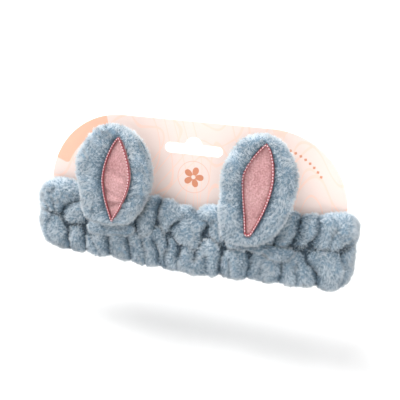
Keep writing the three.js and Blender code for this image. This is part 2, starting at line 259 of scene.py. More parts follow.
# Folds of the front layer: strength from 0 to 1, reach in millimetres, and the fold's course on
# X and Z. The surface swells between them.
UPPER_FOLDS = [
    (0.6, 5.0, [(-89, -51), (-90, -46), (-94, -43)]),
    (0.35, 5.0, [(-84, -50), (-86, -44), (-88, -37), (-84, -33)]),
    (0.9, 6.0, [(-78, -58), (-79, -50), (-76, -43), (-70, -38), (-62, -35.5)]),
    (0.85, 5.0, [(-63, -60), (-64, -47), (-60, -38), (-58, -26)]),
    (0.7, 6.0, [(-48, -60), (-46, -26)]),
    (0.7, 6.0, [(-38, -60), (-36, -26)]),
    (1.0, 6.0, [(-31, -56), (-31, -45), (-26, -37), (-22, -26)]),
    (1.0, 6.5, [(-17, -50), (-17.8, -43), (-16.5, -35), (-14, -26)]),
    (0.95, 6.0, [(-9, -57), (-7.5, -49), (-4.5, -43.5)]),
    (0.5, 5.0, [(-4.5, -43.5), (-1, -40.8)]),
    (0.3, 4.0, [(-1, -40.8), (3, -40)]),
    (0.15, 5.0, [(-5, -36), (-4, -26)]),
    (1.0, 6.0, [(12.5, -54), (14.2, -45)]),
    (0.5, 6.0, [(14.2, -45), (12, -40.5), (8, -39), (5.5, -36)]),
    (0.75, 6.0, [(5.5, -36), (5, -26)]),
    (0.5, 4.0, [(16, -53), (15, -46), (16.5, -41)]),
    (0.8, 6.0, [(24, -58), (24, -26)]),
    (0.7, 6.0, [(34, -58), (35, -26)]),
    (0.7, 6.0, [(45, -58), (44, -26)]),
    (0.6, 5.0, [(53, -58), (54, -26)]),
    (1.0, 6.5, [(63, -55), (64.5, -45), (66.5, -39), (67, -26)]),
    (0.75, 6.0, [(73, -52), (75, -46), (77, -39), (77.5, -26)]),
    (0.35, 5.0, [(84, -50), (85.5, -36)]),
    (0.55, 5.0, [(91, -52), (92, -46), (98, -43)]),
]
LOWER_FOLDS = [
    (0.35, 5.0, [(-88, -52), (-90, -60), (-88, -70)]),
    (0.85, 6.0, [(-78, -52), (-76, -62), (-75, -69), (-75, -80)]),
    (0.95, 6.0, [(-64.5, -52), (-65, -61), (-64, -67), (-63, -80)]),
    (0.5, 4.5, [(-62, -60), (-57, -67), (-54, -74), (-54, -80)]),
    (0.75, 6.0, [(-48.5, -55), (-48.5, -66), (-47.5, -80)]),
    (0.85, 6.0, [(-36, -53), (-36, -62), (-34, -68), (-33, -80)]),
    (0.45, 4.5, [(-27, -59), (-24, -66), (-25, -80)]),
    (0.9, 6.0, [(-18.5, -56), (-17, -66), (-15, -71), (-13, -80)]),
    (0.55, 5.0, [(-10.5, -54), (-10, -62), (-11.5, -68), (-10, -80)]),
    (1.0, 6.0, [(-5, -51), (-3, -57), (-2, -62), (-2.5, -67)]),
    (0.4, 5.0, [(-2.5, -67), (-2, -80)]),
    (0.65, 5.0, [(8, -58), (8, -67)]),
    (0.5, 5.0, [(14.5, -65), (15, -72), (14, -80)]),
    (0.9, 6.0, [(24, -53), (23, -65), (22.5, -80)]),
    (0.45, 4.5, [(28, -64), (30, -72), (31, -80)]),
    (0.75, 6.0, [(40, -54), (40, -68), (39, -80)]),
    (0.4, 4.5, [(47, -66), (49, -80)]),
    (0.7, 6.0, [(59, -60), (59, -70), (58, -80)]),
    (0.45, 5.0, [(67, -62), (69, -70), (68, -80)]),
    (0.9, 6.5, [(70, -48), (73, -56), (77, -61), (80, -68), (80, -80)]),
    (0.45, 5.0, [(90, -50), (94, -60), (92, -80)]),
]


def round_line(along, places, rear, seed):
    """A height all round the loop: the given places on the front layer, an even height with
    a little noise on the rear layer, joined and then smoothed over a few millimetres."""
    x, z = np.array(places, float).T
    draw = np.random.default_rng(seed)
    rear_at = np.linspace(STRAIGHT + TURN, 2 * STRAIGHT + TURN, 17)
    at = np.concatenate([x + CORE_HALF, rear_at])
    value = np.concatenate([z, rear + draw.uniform(-1.2, 1.2, len(rear_at))])
    fine = np.arange(0, LOOP, 0.5)
    line = np.interp(fine, at, value, period=LOOP)
    reach = np.arange(-9, 10)
    weights = np.exp(-(reach / 4.0) ** 2)
    line = sum(w * np.roll(line, r) for r, w in zip(reach, weights / weights.sum()))
    return np.interp(np.mod(along, LOOP), fine, line, period=LOOP)


def rear_folds(seed, low, high):
    """Folds of the rear layer: bent courses from rim to groove, 9 to 15 mm apart before they
    are evened out, with a straight one on the cross seam in its middle, and beside each a
    short one from the rim or the groove to half the row's height."""
    draw = np.random.default_rng(seed)
    middle = STRAIGHT + TURN + CORE_HALF
    half = CORE_HALF + 6
    steps = draw.uniform(9, 15, 14)
    side = np.cumsum(steps[:7]) * half / steps[:7].sum()
    other = np.cumsum(steps[7:]) * half / steps[7:].sum()
    folds = []
    for at in np.concatenate([middle - side, [middle], middle + other]) - CORE_HALF:
        heights = np.linspace(low - 4, high + 4, 4)
        course = at + draw.uniform(-2.4, 2.4, 4) * (at != middle - CORE_HALF)
        folds.append((draw.uniform(0.7, 1.0), 6.0, list(zip(course, heights))))
        start = draw.choice([low - 2, high + 2])
        tip = start + (0.5 if start < low else -0.5) * (high - low)
        folds.append((draw.uniform(0.3, 0.6), 4.5,
                      [(at + 6, start), (at + 6 + draw.uniform(-2, 2), tip)]))
    return folds


def fold_openness(along, height, folds):
    """1 on a puff's top and 0 at the bottom of a full fold. Each fold lowers its
    neighbourhood by a quarter circle's rise over its reach, and the lowest value counts."""
    openness = np.ones(along.shape)
    for strength, reach, course in folds:
        course = np.array(course, float)
        nearest = np.full(along.shape, 1e9)
        for (x0, z0), (x1, z1) in zip(course[:-1], course[1:]):
            across = np.mod(along - CORE_HALF - x0 + LOOP / 2, LOOP) - LOOP / 2
            up = height - z0
            dx, dz = x1 - x0, z1 - z0
            t = np.clip((across * dx + up * dz) / (dx * dx + dz * dz), 0, 1)
            nearest = np.minimum(nearest, np.hypot(across - t * dx, up - t * dz))
        near = np.clip(1 - nearest / (FOLD_WIDTH * reach), 0, 1)
        rise = np.sqrt(1 - near ** 2)
        openness = np.minimum(openness, 1 - strength * (1 - rise))
    return openness


def gathered_row(upper, seed):
    """One row of the gathered tube as a closed loop of points.

    Its section is a superellipse between the card and the band's outside, and between the
    groove and the row's rim. Folds sink into its free face and the surface swells between them,
    which makes the puffs. They sink less at the rim and at the groove. Soft noise makes the
    puffs uneven and bends the folds."""
    along = np.linspace(0, LOOP, ROW_STATIONS, endpoint=False)[:, None]
    theta = np.linspace(0, 2 * math.pi, SECTION_POINTS, endpoint=False)[None, :]
    rise, out = np.sin(theta), np.cos(theta)
    groove = round_line(along, GROOVE_LINE, BAND_MIDDLE, 5)
    if upper:
        low = groove - ROW_OVERLAP
        high = round_line(along, TOP_LINE, BAND_MIDDLE + ROW_HEIGHT - RIM_ROOM, 6)
        folds = UPPER_FOLDS + rear_folds(seed, BAND_MIDDLE, BAND_MIDDLE + ROW_HEIGHT)
        rim_side, rim_share = rise, 0.4
    else:
        low = round_line(along, BOTTOM_LINE, BAND_MIDDLE - ROW_HEIGHT + RIM_ROOM, 7)
        high = groove + ROW_OVERLAP
        folds = LOWER_FOLDS + rear_folds(seed, BAND_MIDDLE - ROW_HEIGHT, BAND_MIDDLE)
        rim_side, rim_share = -rise, 0.75
    inner, outer = inner_depth(along), BAND_DEPTH - PILE_ROOM + SWELL
    plump = 0.88 + 0.05 * rim_side
    across = (outer - inner) / 2 * np.sign(out) * np.abs(out) ** plump
    tall = (high - low) / 2 * np.sign(rise) * np.abs(rise) ** plump
    middle_depth = (inner + outer) / 2
    middle_height = (high + low) / 2
    free = ease(-0.85, -0.1, out) * np.ones_like(along)

    flat = on_loop(along, middle_depth + across, middle_height + tall)
    wander = [0.8 * lattice_noise(flat, 6.0, seed + more) for more in (9, 10)]
    openness = fold_openness(along + wander[0], middle_height + tall + wander[1], folds)
    openness = np.where(free > 0, openness, 1)
    swell = lattice_noise(flat, 11.0, seed + 1) + lattice_noise(flat, 4.5, seed + 2) * 0.2
    sink = PUFF_RISE * (1 - openness) * (1 - rim_share * ease(0.45, 1.0, rim_side))
    sink = sink * (1 - 0.55 * ease(0.4, 1.0, -rim_side)) - swell
    length = np.hypot(across, tall)
    sink = np.minimum(sink * free, 0.72 * length)
    scale = 1 - sink / length
    points = on_loop(along * np.ones_like(theta), middle_depth + across * scale,
                     middle_height + tall * scale)
    return points, free, openness


def outward_faces(points, faces):
    """The faces, turned over if they enclose a negative volume."""
    v = points.reshape(-1, 3)
    a, b, c = v[faces[:, 0]], v[faces[:, 1]], v[faces[:, 2]]
    volume = np.einsum("ij,ij->i", a - v.mean(0), np.cross(b - v.mean(0), c - v.mean(0))).sum()
    if faces.shape[1] == 4:
        d = v[faces[:, 3]]
        volume += np.einsum("ij,ij->i", a - v.mean(0), np.cross(c - v.mean(0), d - v.mean(0))).sum()
    return faces if volume > 0 else faces[:, ::-1]


def make_row(name, upper, seed):
    """A row's piece, and the points, free share, openness and faces that its pile needs."""
    points, free, openness = gathered_row(upper, seed)
    faces = outward_faces(points, ring_faces(points.shape[0], points.shape[1], wrap_rows=True))
    piece = make_piece(name, points.reshape(-1, 3), faces, openness=openness.ravel())
    return piece, points, free, openness, faces


# ---------------------------------------------------------------- pile

PILE_PER_MM2 = 6.6
TUFT_LENGTH = (1.7, 2.6)
TUFT_RADIUS = 0.20
TUFT_SINK = 0.35                                  # a spike's foot is this deep in the cloth
CLUMP = 1.2                                       # distance between the pile's clumps
COMB = 5.0                                        # distance over which the pile's lay changes
COMB_LEAN, CLUMP_LEAN, STRAY, DROOP = 1.1, 0.6, 0.2, 0.1
TUFTS_PER_PIECE = 45000


def vertex_normals(points, faces):
    """Normals of the vertices of a mesh of triangles, weighted by area."""
    a, b, c = (points[faces[:, k]] for k in range(3))
    flat = np.cross(b - a, c - a)
    total = np.zeros_like(points)
    for k in range(3):
        np.add.at(total, faces[:, k], flat)
    return total / np.maximum(np.linalg.norm(total, axis=1, keepdims=True), 1e-9)


def scatter(points, faces, keep, openness):
    """Random points, normals and openness on the faces, evenly by area, where the vertices'
    keep is above a half."""
    if faces.shape[1] == 4:
        faces = np.concatenate([faces[:, [0, 1, 2]], faces[:, [0, 2, 3]]])
    faces = faces[keep[faces].min(1) > 0.5]
    a, b, c = (points[faces[:, k]] for k in range(3))
    area = np.linalg.norm(np.cross(b - a, c - a), axis=1) / 2
    count = int(area.sum() * PILE_PER_MM2)
    face = np.searchsorted(np.cumsum(area), rng.uniform(0, area.sum(), count))
    r, s = rng.uniform(0, 1, (2, count))
    flip = r + s > 1
    r, s = np.where(flip, 1 - r, r), np.where(flip, 1 - s, s)
    weights = np.stack([1 - r - s, r, s], 1)
    normals = vertex_normals(points, faces)
    at = np.einsum("ij,ijk->ik", weights, points[faces[face]])
    n = np.einsum("ij,ijk->ik", weights, normals[faces[face]])
    n /= np.maximum(np.linalg.norm(n, axis=1, keepdims=True), 1e-9)
    return at, n, np.einsum("ij,ij->i", weights, openness[faces[face]])


def make_pile(name, points, faces, keep, openness):
    """Fleece pile: thousands of small closed spikes, each a three-sided point that stands on
    the cloth, leans with its neighbours and gathers with them into clumps. It is shorter down in
    the folds, and its colour carries painted shade there. A spike's UV is its own shade, painted
    shade of the folds included, and its height."""
    at, normal, openness = scatter(points, faces, keep, openness)
    count = len(at)
    clump = lattice_noise(at, CLUMP, 90)
    step = 0.35
    uphill = np.stack([lattice_noise(at + step * np.eye(3)[k], CLUMP, 90) - clump
                       for k in range(3)], 1) / step
    comb = np.stack([lattice_noise(at, COMB, s) for s in (91, 92, 93)], 1)
    lean = (comb * COMB_LEAN + uphill * CLUMP_LEAN + rng.normal(0, STRAY, (count, 3))
            + np.array([0, 0, -DROOP]))
    lean -= normal * np.einsum("ij,ij->i", lean, normal)[:, None]
    axis = normal + lean
    axis /= np.linalg.norm(axis, axis=1, keepdims=True)
    # longer in a clump's middle, shorter down in a fold
    size = rng.uniform(*TUFT_LENGTH, count) * (1 + 0.28 * clump) * (0.62 + 0.38 * openness)
    side = np.cross(axis, rng.normal(0, 1, (count, 3)))
    side /= np.linalg.norm(side, axis=1, keepdims=True)
    other = np.cross(axis, side)
    root = at - normal * TUFT_SINK
    corners = [side * math.cos(turn) + other * math.sin(turn)
               for turn in (2 * math.pi * k / 3 for k in range(3))]
    base = [root + corner * TUFT_RADIUS for corner in corners]
    vertices = np.stack([*base, root + axis * size[:, None]], 1).reshape(-1, 3)
    # lighter in a clump's middle and where it leans right, each by its own chance, with painted
    # shade down in the folds
    shade = 0.56 + 0.2 * clump + 0.08 * comb[:, 0] + rng.uniform(-0.28, 0.28, count)
    shade = np.clip(shade * (0.03 + 0.97 * openness ** 1.8), 0.02, 0.97)
    uv = np.stack([np.repeat(shade, 4), np.tile([0.05, 0.05, 0.05, 0.95], count)], 1)
    shading = np.stack([*(normal + corner * 0.5 for corner in corners), normal + axis], 1)
    shading = shading.reshape(-1, 3)
    shading /= np.linalg.norm(shading, axis=1, keepdims=True)
    pieces = []
    for part, first in enumerate(range(0, count, TUFTS_PER_PIECE)):
        last = min(first + TUFTS_PER_PIECE, count)
        starts = np.arange(last - first)[:, None] * 4
        spike = np.array([[0, 1, 3], [1, 2, 3], [2, 0, 3], [0, 2, 1]])
        tris = (starts[:, :, None] + spike[None]).reshape(-1, 3)
        take = slice(first * 4, last * 4)
        label = name if count <= TUFTS_PER_PIECE else f"{name}_{part + 1}"
        piece = make_piece(label, vertices[take], tris, uv[take])
        piece.data.normals_split_custom_set_from_vertices(shading[take])
        pieces.append(piece)
    return pieces


# ---------------------------------------------------------------- ears

EAR_COLUMNS = 112
EAR_PILE_ROOM = 0.8                               # the front cover stands back by this
THIN_FOOT = (-6, 16)                              # heights off the foot where it grows fuller
ROLL_POWER, DOME_POWER = 0.72, 0.8                # under 1, fuller than an ellipse
BEND_HEIGHTS = (-1.0, 6.5)                        # heights off the foot where an ear bends


def evenly(points, count):
    """A closed run of points resampled at even distances, from its first point."""
    closed = np.concatenate([points, points[:1]])
    steps = np.linalg.norm(np.diff(closed, axis=0), axis=1)
    walked = np.concatenate([[0], np.cumsum(steps)])
    at = np.linspace(0, walked[-1], count, endpoint=False)
    return np.stack([np.interp(at, walked, closed[:, k]) for k in range(points.shape[1])], 1)


def bezier(p0, p1, p2, p3):
    """Forty points of a cubic curve from its start, two handles and end, without the end."""
    t = np.linspace(0, 1, 40, endpoint=False)[:, None]
    p0, p1, p2, p3 = (np.array(p, float) for p in (p0, p1, p2, p3))
    return ((1 - t) ** 3 * p0 + 3 * (1 - t) ** 2 * t * p1
            + 3 * (1 - t) * t ** 2 * p2 + t ** 3 * p3)


def curve_through(*corners):
    """A closed outline from cubic curves, each given by its start and two handles."""
    runs = []
    for k, (start, one, two) in enumerate(corners):
        runs.append(bezier(start, one, two, corners[(k + 1) % len(corners)][0]))
    return evenly(np.concatenate(runs), EAR_COLUMNS)


# Outlines in X and Z from the foot of the ear, anticlockwise from the lowest point as the
# viewer sees them.
EARS = {
    "left": {
        "outline": curve_through(
            ((1, 0.8), (6, 0.8), (10.5, 1.2)), ((14, 4), (20.5, 10.5), (25.5, 20)),
            ((25.5, 32), (25.5, 46), (16.5, 58)), ((4, 58.5), (-7, 59), (-15.8, 49)),
            ((-17.4, 36), (-17.8, 25), (-14.8, 12)), ((-13.2, 4), (-10, 1), (-5, 0.8))),
        "opening": curve_through(
            ((4.0, 2.8), (7.6, 9), (15.2, 20)), ((15.7, 31), (15.5, 40), (12, 48)),
            ((8.2, 53.5), (3, 49), (-1.5, 38)), ((-2.2, 28), (-2.2, 18), (1.8, 9))),
    },
    "right": {
        "outline": curve_through(
            ((-8, 0), (-3, -0.4), (0, 1)), ((3, 3), (11, 10), (16.5, 25)),
            ((16, 38), (15, 50), (8, 60.5)), ((-2.5, 61), (-14, 61.5), (-22, 50)),
            ((-22.6, 35), (-23, 22), (-21.6, 10)), ((-20.4, 3), (-19.2, -0.4), (-12.5, -0.6))),
        "opening": curve_through(
            ((-7.6, 6), (-6.4, 5.4), (-5.6, 5.6)), ((-4.4, 6.6), (-1, 14), (4.5, 27)),
            ((4.6, 39), (4.4, 47), (2.5, 55)), ((-0.9, 58), (-4, 54.5), (-11.2, 46)),
            ((-11.9, 38), (-11.8, 30), (-8.4, 16))),
    },
}


def ear_places(side):
    """An ear's outline and opening on X and Z, its depths on Y, which are the seam's, the
    front's, the back's and the pink panel's, and the height of its foot."""
    front = box_mm(f"{side}_ear_front_panel")[0][1]
    back = box_mm(f"{side}_ear_back_panel")[1][1]
    pink = box_mm(f"{side}_ear_inner_panel")[0][1]
    tab_low, tab_high = box_mm(f"{side}_ear_base_tab")
    foot = box_mm("left_ear_back_panel")[0][2]
    place = np.array([(tab_low[0] + tab_high[0]) / 2, foot])
    outline, opening = EARS[side]["outline"] + place, EARS[side]["opening"] + place
    return outline, opening, (front + back) / 2, front, back, pink, foot


def ring_at(outline, depth):
    """A ring of points with X and Z from an outline and Y from a depth."""
    return np.stack([outline[:, 0], np.broadcast_to(depth, len(outline)), outline[:, 1]], -1)


def make_ear(side):
    """An ear's two covers.

    The front cover is a padded roll: from the hidden middle out to the opening's edge, over
    half an ellipse to the ear's outline at the seam. The back cover is a shallow dome from the
    same seam. The ear is thinner towards its foot, and the roll's pile is shorter beside the
    opening, with painted shade there."""
    outline, opening, seam, front, back, pink, foot = ear_places(side)
    middle = opening.mean(0)
    fullness = ease(foot + THIN_FOOT[0], foot + THIN_FOOT[1], outline[:, 1])
    seed = 300 if side == "left" else 400

    front_depth = seam + (front + EAR_PILE_ROOM - seam) * (0.5 + 0.5 * fullness)
    rings = [ring_at(middle + (opening - middle) * share, pink + 2.2) for share in (0.35, 0.8)]
    for angle in np.linspace(0.0, math.pi, 26):
        lift = np.sin(angle) ** ROLL_POWER
        share = (1 - np.cos(angle)) / 2 - 0.05 * np.sin(2 * angle)
        line = opening + (outline - opening) * share
        low_depth = pink + 0.3 + (seam - pink - 0.3) * share
        rings.append(ring_at(line, low_depth + (front_depth - low_depth) * lift))
    for share in (0.8, 0.4):
        rings.append(ring_at(middle + (outline - middle) * share, seam + 0.1))
    front_rings = np.stack(rings)

    back_depth = seam + (back - seam) * (0.55 + 0.45 * fullness)
    rings = [ring_at(middle + (outline - middle) * share, seam + 0.3) for share in (0.4, 0.8)]
    for angle in np.linspace(0, math.pi / 2, 12):
        share = 1 - 0.55 * (1 - np.cos(angle))
        lift = np.sin(angle) ** DOME_POWER
        rings.append(ring_at(middle + (outline - middle) * share,
                             seam + 0.4 + (back_depth - seam - 0.4) * lift))
    for share in (0.3, 0.12):
        rings.append(ring_at(middle + (outline - middle) * share, back_depth.max()))
    back_rings = np.stack(rings)

    # rings between which the cloth is uneven, rings with pile, and pile at the two end points
    covers = {}
    for part, grid, (first, last), (pile_first, pile_last), ends in (
            ("front", front_rings, (3, 27), (6, 28), (0, 0)),
            ("back", back_rings, (2, 16), (3, 16), (0, 1))):
        row = np.arange(len(grid))
        loose = (ease(first, first + 3, row) * (1 - ease(last - 1, last, row)))[:, None]
        lump = lattice_noise(grid, 9.0, seed) * 0.9 + lattice_noise(grid, 3.5, seed + 5) * 0.3
        grid[..., 1] += loose * lump * (-1 if part == "front" else 0.5)
        grid[..., 0] += loose * lattice_noise(grid, 10.0, seed + 8) * 0.8
        vertices, faces = closed_shell(grid)
        faces = outward_faces(vertices, faces)
        piled = (row >= pile_first) & (row < pile_last)
        shown = np.append(np.repeat(piled, EAR_COLUMNS), ends) * 1.0
        # painted shade: the front cover's colour darkens beside the opening, where its pile is also
        # shorter
        open_share = 0.35 + 0.65 * ease(4, 14, row) if part == "front" else np.ones(len(row))
        openness = np.append(np.repeat(open_share, EAR_COLUMNS), (1, 1))
        piece = make_piece(f"{side}_ear_{part}_cover", vertices, faces, openness=openness)
        covers[part] = (piece, vertices, faces, shown, openness)
    return covers, outline, opening, pink, foot


# ---------------------------------------------------------------- materials


def colour(code):
    """An sRGB hex colour as linear RGBA."""
    parts = [int(code[i:i + 2], 16) / 255 for i in (1, 3, 5)]
    return (*(p / 12.92 if p <= 0.04045 else ((p + 0.055) / 1.055) ** 2.4 for p in parts), 1)


def plug(tree, node, *values, **inputs):
    """Sets a node's inputs: values go to its first sockets in order, and inputs to the sockets
    of those names, or i and a number for a socket's place. Each is a plain value, an output, or
    a node, which stands for its first output."""
    sockets = [(node.inputs[k], value) for k, value in enumerate(values)]
    for key, value in inputs.items():
        by_place = key[0] == "i" and key[1:].isdigit()
        sockets.append((node.inputs[int(key[1:]) if by_place else key.replace("_", " ")], value))
    for socket, value in sockets:
        if isinstance(value, bpy.types.Node):
            value = value.outputs[0]
        if isinstance(value, bpy.types.NodeSocket):
            tree.links.new(value, socket)
        else:
            socket.default_value = value


def add(tree, kind, settings=None, *values, **inputs):
    """Adds a node with its settings, a dictionary or only an operation's name, and plugs it."""
    made = tree.nodes.new("ShaderNode" + kind)
    if isinstance(settings, str):
        settings = {"operation": settings}
    for key, value in (settings or {}).items():
        setattr(made, key, value)
    plug(tree, made, *values, **inputs)
    return made


RGBA = {"data_type": "RGBA"}
TINTED = {"data_type": "RGBA", "blend_type": "MULTIPLY"}


def cells(size):
    """The scale of a noise whose cells are this many millimetres across."""
    return 1 / (size * MM)


def new_material(name):
    """An empty node material with its tree, its shader and its object coordinates."""
    made = bpy.data.materials.new(name)
    made.use_nodes = True
    tree = made.node_tree
    shader = next(n for n in tree.nodes if n.type == "BSDF_PRINCIPLED")
    place = add(tree, "TexCoord").outputs["Object"]
    return made, tree, shader, place


def fleece_pile():
    """Coral fleece, the tips of its polyester pile: pale blue-grey tips over darker roots, with
    painted shade down in the folds, and a soft white sheen where it is seen edge on, partly the
    shader's sheen and partly a painted sheen that mixes the colour towards white."""
    made, tree, shader, _ = new_material("coral_fleece_pile")
    shade_of, height_of, _ = add(tree, "SeparateXYZ", None,
                                 add(tree, "TexCoord").outputs["UV"]).outputs
    shade, height = add(tree, "ValToRGB", None, shade_of), add(tree, "ValToRGB", None, height_of)
    # the shade ramp runs from the deep blue of painted shade in the folds, through the pile's own
    # tones, to white
    for ramp, low, high in ((shade, "#14283a", "#ffffff"), (height, "#c2cfd8", "#ffffff")):
        ramp.color_ramp.elements[0].color = colour(low)
        ramp.color_ramp.elements[1].color = colour(high)
    for at, code in ((0.26, "#88a1b4"), (0.54, "#e3ecf2")):
        shade.color_ramp.elements.new(at).color = colour(code)
    tint = add(tree, "VectorMath", "MULTIPLY", height, shade)
    # painted sheen: the colour is mixed towards near-white where the surface is seen edge on
    facing = add(tree, "LayerWeight", Blend=0.5).outputs["Facing"]
    halo = add(tree, "Math", "MULTIPLY", add(tree, "Math", "POWER", facing, 2.5), 0.34)
    painted_sheen_colour = add(tree, "Mix", RGBA, halo, i6=tint, i7=colour("#f4f8fb"))
    plug(tree, shader, Base_Color=painted_sheen_colour.outputs[2], Roughness=0.9, Sheen_Weight=0.9,
         Sheen_Roughness=0.45, Sheen_Tint=colour("#eef4f8"), Specular_IOR_Level=0.2)
    return made


def fleece_ground():
    """The knitted ground of the coral fleece under its pile: mottled at 1.1 mm, the scale of
    the tufts, and darker down in the folds, which is painted shade."""
    made, tree, shader, place = new_material("coral_fleece_ground")
    mottle = add(tree, "TexNoise", Vector=place, Scale=cells(1.1111), Detail=2.0)
    mix = add(tree, "Mix", RGBA, mottle, i6=colour("#5f788b"), i7=colour("#8fa8ba"))
    # painted shade: the colour darkens as the cloth's openness falls towards the bottom of a fold
    open_share = add(tree, "Attribute", {"attribute_name": "openness"}).outputs["Fac"]
    depth = add(tree, "Math", "POWER", open_share, 1.8)
    light = add(tree, "MapRange", None, depth, 0.0, 1.0, 0.12, 1.0)
    shaded = add(tree, "VectorMath", "SCALE", mix.outputs[2], Scale=light)
    bump = add(tree, "Bump", Strength=0.5, Distance=0.0004, Height=mottle)
    plug(tree, shader, Base_Color=shaded, Normal=bump, Roughness=0.95, Sheen_Weight=0.3)
    return made


def pink_nap():
    """Brushed polyester with a short pink nap: fine speckle 0.9 mm across, drawn a little
    coarse so that it shows, soft clouding every 11 mm from the way the nap lies, and a faint
    satin sheen."""
    made, tree, shader, place = new_material("pink_brushed_nap")
    speckle = add(tree, "TexNoise", Vector=place, Scale=cells(0.90909), Detail=3.0)
    cloud = add(tree, "TexNoise", Vector=place, Scale=cells(11.1111), Detail=3.0)
    base = add(tree, "Mix", RGBA, cloud, i6=colour("#b27c7f"), i7=colour("#dab3b2"))
    sharp = add(tree, "MapRange", None, speckle, 0.35, 0.7, 0.0, 1.0)
    dots = add(tree, "Mix", RGBA, sharp, i6=colour("#946266"), i7=colour("#ffffff"))
    mix = add(tree, "Mix", TINTED, 0.55, i6=base.outputs[2], i7=dots.outputs[2])
    bump = add(tree, "Bump", Strength=0.35, Distance=0.0003, Height=speckle)
    plug(tree, shader, Base_Color=mix.outputs[2], Normal=bump, Roughness=0.7,
         Sheen_Weight=0.5, Sheen_Roughness=0.4, Sheen_Tint=colour("#ffe3e3"))
    return made


def plain_thread(name, code, rough):
    """Spun thread: a fine twist of light and dark along it, 0.4 mm apart."""
    made, tree, shader, place = new_material(name)
    twist = add(tree, "TexNoise", Vector=place, Scale=cells(0.4), Detail=1.0)
    mix = add(tree, "Mix", TINTED, 0.4, i6=colour(code), i7=twist.outputs[1])
    bump = add(tree, "Bump", Strength=0.4, Distance=0.0001, Height=twist)
    plug(tree, shader, Base_Color=mix.outputs[2], Normal=bump, Roughness=rough)
    return made


CARD_CORNER = 47.5                                # radius of the card's top corners
EDGE_REVEAL = 0.01                                # print stops this far inside the cut edge


def printed_board():
    """Coated white board printed pale pink: fine peach line work like leaf veins, a peach tab
    along the left corner, a plain blossom in a ring, a run of small lozenges along the right
    corner, the bare white core on the cut edge, and a plain, duller back."""
    made, tree, shader, place = new_material("printed_pink_board")
    x, y, z = add(tree, "SeparateXYZ", None,
                  add(tree, "VectorMath", "SCALE", place, Scale=1 / MM)).outputs
    corner_x, corner_z = CARD_HIGH[0] - CARD_CORNER, CARD_HIGH[2] - CARD_CORNER

    def polar(centre_x, centre_z):
        """Distance and angle from a centre on X and Z."""
        dx = add(tree, "Math", "SUBTRACT", x, centre_x)
        dz = add(tree, "Math", "SUBTRACT", z, centre_z)
        arm = add(tree, "CombineXYZ", None, dx, 0.0, dz)
        far = add(tree, "VectorMath", "LENGTH", arm).outputs["Value"]
        return far, add(tree, "Math", "ARCTAN2", dz, dx)

    def gap(value, middle):
        """How far a value is from a middle, either way."""
        return add(tree, "Math", "ABSOLUTE", add(tree, "Math", "SUBTRACT", value, middle))

    # peach line work: the level lines of two stretched noise fields
    lines = 0.0
    for size, turns, angle in ((41.6667, 15.0, 0.5), (66.6667, 22.0, -0.9)):
        tilt = add(tree, "Mapping", None, place, Rotation=(0, angle, 0), Scale=(1, 1, 0.45))
        field = add(tree, "TexNoise", Vector=tilt, Scale=cells(size), Detail=1.0)
        level = add(tree, "Math", "FRACT", add(tree, "Math", "MULTIPLY", field, turns))
        line = add(tree, "Math", "LESS_THAN", gap(level, 0.5), 0.05)
        lines = add(tree, "Math", "MAXIMUM", lines, line)

    # peach tab: a box 37 by 6.4 mm, rounded by 2.6 mm, bent along the left corner
    far, angle = polar(-corner_x, corner_z)
    along = add(tree, "Math", "MULTIPLY", gap(angle, math.radians(131)), 43.5)
    past = [add(tree, "Math", "MAXIMUM", add(tree, "Math", "SUBTRACT", value, half), 0.0)
            for value, half in ((along, 18.5), (gap(far, 44.5), 3.2))]
    past = add(tree, "VectorMath", "LENGTH", add(tree, "CombineXYZ", None, *past))
    tab = add(tree, "Math", "LESS_THAN", past.outputs["Value"], math.sqrt(7.0))

    # blossom: five petals 6.3 mm long, one for each half wave of the cosine, round an eye,
    # in a ring of 9.6 mm radius and a third of a millimetre wide
    far, angle = polar(1.0, -18.6)
    wave = add(tree, "Math", "COSINE", add(tree, "Math", "MULTIPLY", angle, 2.5))
    lobe = add(tree, "Math", "POWER", add(tree, "Math", "ABSOLUTE", wave), 0.45)
    petals = add(tree, "Math", "LESS_THAN", far, add(tree, "Math", "MULTIPLY", lobe, 6.3))
    blossom = add(tree, "Math", "MULTIPLY", petals, add(tree, "Math", "GREATER_THAN", far, 1.3))
    ring = add(tree, "Math", "LESS_THAN", gap(far, 9.6), 0.16)

    # lozenges 2 mm across, every 5 degrees for 40 degrees of the right corner
    far, angle = polar(corner_x, corner_z)
    pitch = math.radians(5.0)
    phase = add(tree, "Math", "FRACT", add(tree, "Math", "DIVIDE", angle, pitch))
    along = add(tree, "Math", "MULTIPLY", gap(phase, 0.5), 38 * pitch)
    lozenge = add(tree, "Math", "LESS_THAN", add(tree, "Math", "ADD", along, gap(far, 38.0)), 1.0)
    span = add(tree, "Math", "LESS_THAN", gap(angle, math.radians(55)), math.radians(20))
    trail = add(tree, "Math", "MULTIPLY", lozenge, span)

    front = add(tree, "Math", "LESS_THAN", y, 0.0)
    shade = add(tree, "Mix", RGBA, front, i6=colour("#dcc3b8"), i7=colour("#ead5cd"))
    for mask, code in ((lines, "#f3d0c1"), (tab, "#f0b69c"), (ring, "#eab79f"),
                       (blossom, "#cf8461"), (trail, "#d4906f")):
        shade = add(tree, "Mix", RGBA, add(tree, "Math", "MULTIPLY", mask, front),
                    i6=shade.outputs[2], i7=colour(code))
    core = add(tree, "Math", "LESS_THAN", gap(y, 0.0), CARD_FACE - EDGE_REVEAL)
    shade = add(tree, "Mix", RGBA, core, i6=shade.outputs[2], i7=colour("#fdfbf8"))
    fibre = add(tree, "TexNoise", Vector=place, Scale=cells(0.25), Detail=2.0)
    bump = add(tree, "Bump", Strength=0.06, Distance=0.0001, Height=fibre)
    plug(tree, shader, Base_Color=shade.outputs[2], Normal=bump, Roughness=0.5,
         Coat_Weight=0.12, Coat_Roughness=0.35)
    return made


